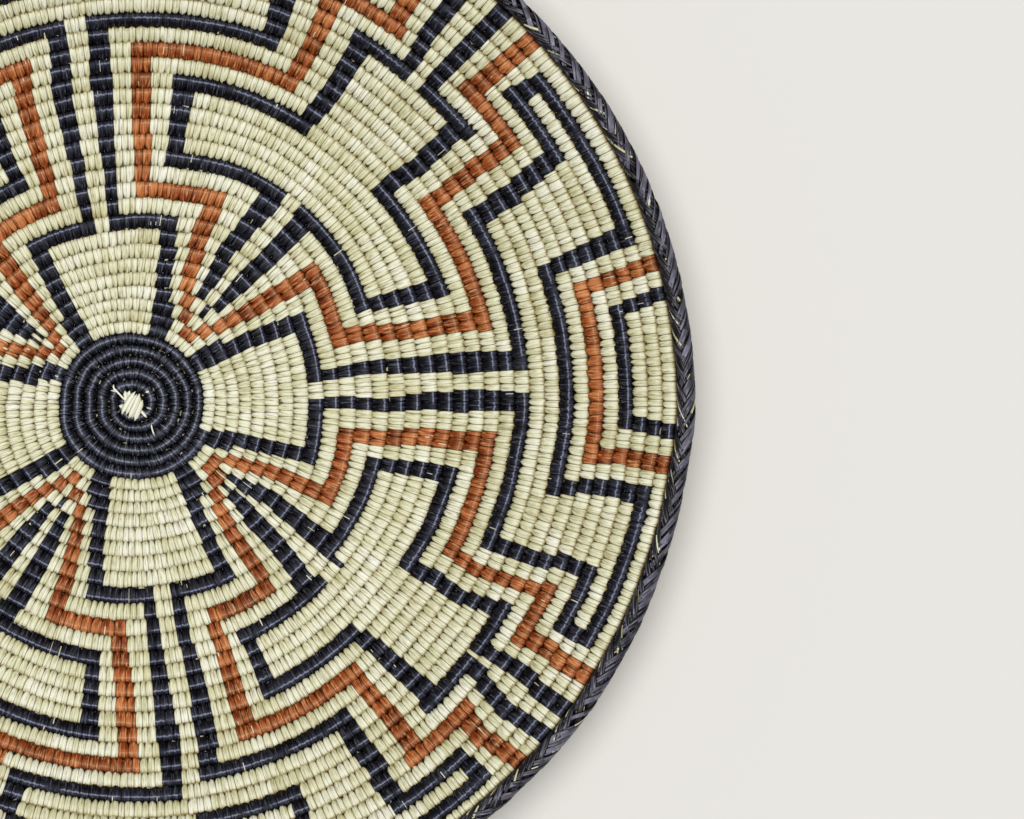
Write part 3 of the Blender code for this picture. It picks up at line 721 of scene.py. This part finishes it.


# Undyed leaf dries to a greenish cream. The finish paints it almost white on the crests as a painted
# highlight, and olive in the creases and on the sides as painted shade. The dyed black is neutral and nearly
# matt, with a paler broken line along the crests that is partly leaf paled by rubbing and partly painted
# highlight. The rust dye is an orange brown, painted darker in the creases as painted shade. The colours are,
# in this order: a hole's painted shade, a crease's painted shade that also darkens the fibre grooves, dull,
# usual and bright leaf, a fibre's glint, a strip's end, and the crest's paler leaf and painted highlight.
natural_palm = palm_strip("natural_palm_leaf", "#140D04", "#8A7E4E", "#CCC796", "#E5E3BC", "#F8F7E4",
                          "#FAF9E6", "#C99A66", "#FFFEF4", wear_and_highlight=0.35, sheen=0.40, roughness=0.55, gloss=0.35)
black_palm = palm_strip("black_dyed_palm_leaf", "#000001", "#030305", "#0A090C", "#15131A", "#272730",
                        "#60626F", "#08080A", "#A4ABC6", wear_and_highlight=0.72, sheen=0.08, roughness=0.42, gloss=0.08,
                        line_width=0.044)
centre_palm = palm_strip("black_dyed_palm_leaf_of_the_centre", "#000000", "#030304", "#09090C", "#17171D",
                         "#2B2C35", "#7A7D8E", "#050506", "#9AA0B4", wear_and_highlight=0.80, sheen=0.18, roughness=0.42,
                         gloss=0.08, line_width=0.055, line_place=0.52)
rust_palm = palm_strip("rust_dyed_palm_leaf", "#080200", "#260D01", "#602608", "#974518", "#D4824A",
                       "#F0B078", "#7A3608", "#F4C08C", wear_and_highlight=0.50, sheen=0.32, roughness=0.46, gloss=0.12)
plait_palm = palm_strip("black_dyed_plait", "#000000", "#08070B", "#0B0A0E", "#2B2830", "#898698",
                        "#828092", "#08080A", "#9CA3BC", roughness=0.34, gloss=0.3)
knot_palm = palm_strip("bleached_palm_leaf_of_the_knot", "#2A2412", "#857C50", "#D2CEA8", "#E9E7CB",
                       "#F6F5E4", "#FFFFF6", "#C99A66", "#FFFEF4", roughness=0.55, gloss=0.35)
STRIPS = (natural_palm, black_palm, rust_palm)
CENTRE_STRIPS = (natural_palm, centre_palm, rust_palm)

# The sewing of each stretch of the coil, with its first and last turn.
BANDS = {
    "coil_centre_disc": (("sewn_centre", 1, 5),),
    "coil_base": (("sewn_base_first", 6, 6), ("sewn_base_inner", 7, 11), ("sewn_base_outer", 12, 16)),
    "coil_wall_lower": (("sewn_lower_wall_inner", 17, 20), ("sewn_lower_wall_outer", 21, 23)),
    "coil_wall_middle": (("sewn_middle_wall_inner", 24, 26), ("sewn_middle_wall_centre", 27, 28),
                         ("sewn_middle_wall_outer", 29, 30)),
    "coil_wall_upper": (("sewn_upper_wall_inner", 31, 32), ("sewn_upper_wall_centre", 33, 34),
                        ("sewn_upper_wall_outer", 35, 36), ("sewn_last_turn", 37, 37)),
}
for node, bands in BANDS.items():
    for band in bands:
        coil_piece(*band, node)


# The plaited rim: two families of strips wind round it, one each way, five to a family. One family lies
# on top on the outer half and the other on the inner half, so they meet in long Vs along the crest.
PLAIT_TURNS, PLAIT_STRANDS = 37, 5  # turns of one strip round the rim, and strips in a family
PLAIT_STATIONS = 20  # sections to a turn
PLAIT_TOP, PLAIT_UNDER = 0.0029, 0.0024
PLAIT_TONES = 8  # a strip's tone changes this often in a turn
CROSSING = 0.7  # how gradually the families change places over the rim's crest
STRAND_SHIFT, STRAND_LIFT = 0.19, 0.00010  # how far strands stray aside, in their spacing, and up
WIDTH_SPREAD, WIDTH_LIMITS = 0.20, (0.6, 1.5)
FIBRES_ACROSS = 0.7  # a place across the leaf that is clear of its ends and crest
# Each family's way round, its strips' width and reach against the usual, the range of its tones, and the
# share of its slivers that are pale.
PLAIT_FAMILIES = (
    ("outer", 1, 1.06, 0.0, (0.40, 1.0), 0.05),
    # The inner family's lower tones are painted shade on the rim's inner half, and the outer family's higher
    # tones painted light on its outer half.
    ("inner", -1, 0.92, -0.0002, (0.0, 0.28), 0.42),
)
# Where a strand lies between two of its neighbours, half width, height over the other strips and half
# thickness.
PLAIT_STRIPS = (
    ("strip", 0.0, 0.00122, 0.0, 0.00054),
    ("sliver", 0.5, 0.00044, 0.00016, 0.00024),
)
BUNDLE_RADIUS = 0.00215
BUNDLE_STITCHES, BUNDLE_SIDES = 620, 10
BUNDLE_PALE = 0.06  # share of its stitches that are pale
BUNDLE_END = 179.96  # it stops just short of its start, so that both ends stay closed
RIM_RADIUS = 0.2  # near enough to measure its leaf along the rim
# A strip's section: flat, with a crease along it and thin edges.
RIBBON = np.array(((1.0, 0.0), (0.86, 0.70), (0.45, 1.0), (0.18, 0.70), (-0.15, 1.1), (-0.60, 0.95),
                   (-0.88, 0.55), (-1.0, 0.0), (-0.4, -0.9), (0.4, -0.9)))
# How bright the finish paints each point of the section: painted shade on the strip's edges and in its
# crease.
RIBBON_LIGHT = np.array((0.00, 0.30, 1.0, 0.88, 1.0, 0.84, 0.22, 0.00, 0.0, 0.0))


def ribbon_piece(name, centres, up, half_width, half_thick, strip_of, pale, tones, painted_edge_shade, node,
                 finishes):
    """Flat strips along a path, with a crowned face and thin edges. Each may be pale or black, and has a tone
    between the two that are given. The edge shade argument says how much painted shade darkens its edges and
    crease."""
    tangent = np.gradient(centres, axis=0)
    across = np.cross(up, tangent)
    across /= np.linalg.norm(across, axis=1, keepdims=True)
    rings = (centres[:, None, :] + across[:, None, :] * RIBBON[None, :, 0:1] * half_width[:, None, None]
             + up[:, None, :] * RIBBON[None, :, 1:2] * half_thick[:, None, None])
    # Painted shade on the edges, scaled by the edge shade argument.
    light = np.broadcast_to(1.0 - (1.0 - RIBBON_LIGHT) * painted_edge_shade, rings.shape[:2])
    tones = tones[0] + (tones[1] - tones[0]) * rng.random((2, strip_of.max() + 1))
    # The fibres run along a strip, so its width takes the place that the coil's length has in a stitch.
    width = RIBBON[:, 0] * float(half_width.mean())
    mesh = closed_tube(name, rings, (width, np.full(len(rings), FIBRES_ACROSS)),
                       (tones[0][strip_of], tones[1][strip_of], light),
                       lambda column, place: np.where(pale[strip_of[column]], 0, 1))
    layer = mesh.uv_layers["strip"].data
    uv = np.empty(len(layer) * 2)
    layer.foreach_get("uv", uv)
    layer.foreach_set("uv", uv.reshape(-1, 2)[:, ::-1].ravel())
    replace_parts(add_piece(name, mesh, finishes), node)


def rim_frame(angle, turned, level):
    """Points and outward directions at an angle round the basket and a turn round the rim's section."""
    place = rim_place(angle)
    around = np.radians(angle)
    middle = place[:, 1] + BED
    radius = place[:, 0] + level * np.cos(turned)
    points = np.stack((radius * np.cos(around) + LEAN * middle, radius * np.sin(around),
                       middle + level * np.sin(turned)), axis=-1)
    out = np.stack((np.cos(turned) * np.cos(around), np.cos(turned) * np.sin(around), np.sin(turned)),
                   axis=-1)
    return points, out


def plait_strip(name, family, strand, place, half_width, raise_by, half_thick):
    """One strip wound right round the rim. Its family is on top on one half of the rim."""
    _, way, against, reach, tones, pale_share = family
    stations = np.arange(PLAIT_TURNS * PLAIT_STATIONS + 1)
    turns = stations / PLAIT_STATIONS
    turned = -90.0 + 360.0 * turns
    toned = (stations * PLAIT_TONES) // PLAIT_STATIONS
    outwards = np.cos(np.radians(turned)) * way
    raised = smooth(0.5 + outwards / CROSSING)
    uneven = rng.normal(0.0, 1.0, (3, 2 * PLAIT_TURNS + 1))
    half_turns = np.arange(2 * PLAIT_TURNS + 1)
    shift, lifted, wider = (np.interp(2.0 * turns, half_turns, values) for values in uneven)
    share = (-way * turns + (strand + place + STRAND_SHIFT * shift) / PLAIT_STRANDS) / PLAIT_TURNS
    level = PLAIT_UNDER + (PLAIT_TOP + reach - PLAIT_UNDER) * raised + raise_by + STRAND_LIFT * lifted
    centres, up = rim_frame(share * 360.0, np.radians(turned), level)
    pale = rng.random(toned[-1] + 1) < (pale_share if place else 0.0)
    # The plait's strips take the full painted edge shade.
    ribbon_piece(name, centres, up, against * half_width * np.clip(1.0 + WIDTH_SPREAD * wider, *WIDTH_LIMITS),
                 np.full(len(stations), half_thick), toned, pale, tones, 1.0, "rim_braid",
                 (natural_palm, plait_palm))


for name, *sizes in PLAIT_STRIPS:
    for strand in range(PLAIT_STRANDS):
        for family in PLAIT_FAMILIES:
            plait_strip("plait_%s_%s_%d" % (family[0], name, strand + 1), family, strand, *sizes)


def rim_bundle():
    """The coil's last end under the plait, wrapped in black with a few pale strips."""
    share = np.append(np.tile((0.0, 0.5), BUNDLE_STITCHES), 0.0)
    stitch = np.append(np.repeat(np.arange(BUNDLE_STITCHES), 2), BUNDLE_STITCHES - 1)
    angle = -180.0 + 360.0 * (stitch + share) / BUNDLE_STITCHES
    angle[-1] = BUNDLE_END
    turned = np.radians(np.arange(BUNDLE_SIDES) * (360.0 / BUNDLE_SIDES))
    level = BUNDLE_RADIUS * np.where(share == 0.0, 0.9, 1.0)
    rings = np.stack([rim_frame(angle, np.full(len(angle), turn), level)[0] for turn in turned], axis=1)
    # Painted shade: dark in the gaps between the bundle's stitches and half shaded elsewhere, as it lies
    # under the plait.
    light = np.repeat(np.where(share == 0.0, 0.1, 0.5)[:, None], BUNDLE_SIDES, axis=1)
    tones = rng.random((2, BUNDLE_STITCHES))
    pale = rng.random(BUNDLE_STITCHES) < BUNDLE_PALE
    length = np.radians(angle + 180.0) * RIM_RADIUS
    mesh = closed_tube("rim_bundle", rings, (np.full(BUNDLE_SIDES, FIBRES_ACROSS), length),
                       (tones[0][stitch], tones[1][stitch], light),
                       lambda column, place: np.where(pale[stitch[column]], 0, 1))
    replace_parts(add_piece("rim_bundle", mesh, STRIPS), "rim_core")


rim_bundle()

# The knot: flat pale strips crossed over the centre, as length, width, turn in degrees, place and height.
KNOT_STRIPS = (
    (0.0094, 0.0019, 59.0, (-0.0011, 0.0004), 0.0041),
    (0.0096, 0.0021, 66.0, (0.0009, -0.0007), 0.0043),
    (0.0078, 0.0020, 69.0, (0.0026, -0.0023), 0.0041),
    (0.0084, 0.0017, 62.0, (0.0000, -0.0002), 0.0039),
    (0.0076, 0.0017, 65.0, (0.0017, -0.0014), 0.0039),
    (0.0050, 0.0012, 70.0, (0.0020, -0.0037), 0.0036),
    (0.0040, 0.0011, -47.0, (0.0040, -0.0034), 0.0036),
    (0.0050, 0.0019, 97.0, (-0.0021, 0.0022), 0.0037),
    (0.0056, 0.0019, 120.0, (-0.0002, 0.0002), 0.0036),
    (0.0040, 0.0014, 80.0, (-0.0010, 0.0028), 0.0036),
    (0.0036, 0.0017, -8.0, (-0.0027, -0.0009), 0.0036),
    (0.0078, 0.0007, 133.0, (-0.0043, 0.0035), 0.0040),
    (0.0024, 0.0006, 100.0, (-0.0063, 0.0058), 0.0038),
    (0.0022, 0.0005, 165.0, (-0.0064, 0.0046), 0.0038),
    (0.0018, 0.0007, -18.0, (0.0063, -0.0016), 0.0034),
    (0.0011, 0.0008, 5.0, (0.0057, 0.0043), 0.0034),
    (0.0043, 0.0006, -74.0, (0.0077, -0.0093), 0.0034),
)
KNOT_STATIONS = 14
KNOT_BOW, KNOT_DROP = 0.05, 0.09  # how far a strip bows aside and its ends drop, against its length
KNOT_HALF_THICK = 0.00026
KNOT_BED_RADIUS, KNOT_BED_LEVEL, KNOT_BED_DOME = 0.0062, 0.0016, 0.0017
KNOT_BED_RIBS, KNOT_RIB_HEIGHT = 16.0, 0.03


def knot_strip(number, length, width, turned, place, level):
    share = np.linspace(-1.0, 1.0, KNOT_STATIONS)
    way = math.radians(turned)
    run = share * length / 2.0
    bow = KNOT_BOW * length * math.sin(number * 2.1) * (1.0 - share ** 2)
    drop = KNOT_DROP * length * np.abs(share) ** 3
    centres = np.stack((place[0] + run * math.cos(way) - bow * math.sin(way),
                        place[1] + run * math.sin(way) + bow * math.cos(way), level - drop), axis=-1)
    tangent = np.gradient(centres, axis=0)
    tangent /= np.linalg.norm(tangent, axis=1, keepdims=True)
    side = np.cross((0.0, 0.0, 1.0), tangent)
    up = np.cross(tangent, side / np.linalg.norm(side, axis=1, keepdims=True))
    taper = np.clip(1.45 * (1.0 - np.abs(share) ** 2.2), 0.12, 1.0)
    # The knot's strips take a lighter painted edge shade.
    ribbon_piece("knot_strip_%d" % number, centres, up, width / 2.0 * taper,
                 np.full(KNOT_STATIONS, KNOT_HALF_THICK), np.zeros(KNOT_STATIONS, int), np.array([True]),
                 (0.6, 1.0), 0.4, "start_knot", (knot_palm,))


for number, strip in enumerate(KNOT_STRIPS, 1):
    knot_strip(number, *strip)


def knot_bed():
    """The black coil's first end, a small domed pad that fills the first turn under the knot."""
    shape = bmesh.new()
    bmesh.ops.create_uvsphere(shape, u_segments=48, v_segments=12, radius=1.0)
    for vert in shape.verts:
        flat = math.hypot(vert.co.x, vert.co.y)
        rib = 1.0 + KNOT_RIB_HEIGHT * math.cos(KNOT_BED_RIBS * math.atan2(vert.co.y, vert.co.x))
        wave = 0.0002 * math.sin(14.0 * flat)
        vert.co = (KNOT_BED_RADIUS * rib * vert.co.x, KNOT_BED_RADIUS * rib * vert.co.y,
                   max(0.0, KNOT_BED_LEVEL + KNOT_BED_DOME * rib * vert.co.z + wave))
    bmesh.ops.recalc_face_normals(shape, faces=shape.faces)
    mesh = bpy.data.meshes.new("knot_bed")
    shape.to_mesh(mesh)
    shape.free()
    sewing = mesh.color_attributes.new("sewing", "FLOAT_COLOR", "CORNER")
    # Painted shade: one even brightness below a crest's, so the whole pad is painted somewhat darker.
    sewing.data.foreach_set("color", np.tile((0.5, 0.3, 0.55, 1.0), len(mesh.loops)))
    mesh.shade_smooth()
    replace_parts(add_piece("knot_bed", mesh, (centre_palm,)), "start_knot")


knot_bed()

# Floor, light and camera.
shape = bmesh.new()
bmesh.ops.create_grid(shape, x_segments=1, y_segments=1, size=FLOOR_HALF)
floor_mesh = bpy.data.meshes.new("floor")
shape.to_mesh(floor_mesh)
shape.free()
floor = place_object("floor", floor_mesh)
floor_finish = bpy.data.materials.new("pale_floor")
floor_finish.use_nodes = True
floor_shader = floor_finish.node_tree.nodes["Principled BSDF"]
floor_shader.inputs["Base Color"].default_value = linear(FLOOR_COLOUR)
floor_shader.inputs["Roughness"].default_value = FLOOR_ROUGHNESS
floor_mesh.materials.append(floor_finish)

world = bpy.data.worlds.new("studio")
bpy.context.scene.world = world
world.use_nodes = True
background = world.node_tree.nodes["Background"]
background.inputs["Color"].default_value = (1.0, 1.0, 1.0, 1.0)
background.inputs["Strength"].default_value = SURROUNDING

lamp = bpy.data.lights.new("soft_window", "SUN")
lamp.angle = math.radians(LAMP_SPREAD)
lamp.energy = LAMP_ENERGY
window = place_object("soft_window", lamp)
window.rotation_euler = (math.radians(LAMP_TILT), 0.0, 0.0)

camera = bpy.data.cameras.new("camera")
camera.sensor_width = SENSOR_WIDTH
camera.lens = SENSOR_WIDTH * CAMERA_RISE / (IMAGE_WIDTH * PIXEL)
camera.clip_end = 20.0
eye = place_object("camera", camera)
reach = PIXEL * (CAMERA_RISE + RIM_LEVEL) / CAMERA_RISE
eye.location = ((IMAGE_WIDTH / 2.0 - KNOT_PIXEL[0]) * reach, (KNOT_PIXEL[1] - IMAGE_HEIGHT / 2.0) * reach,
                CAMERA_RISE + RIM_LEVEL)
bpy.context.scene.camera = eye
bpy.context.scene.view_settings.view_transform = "Standard"
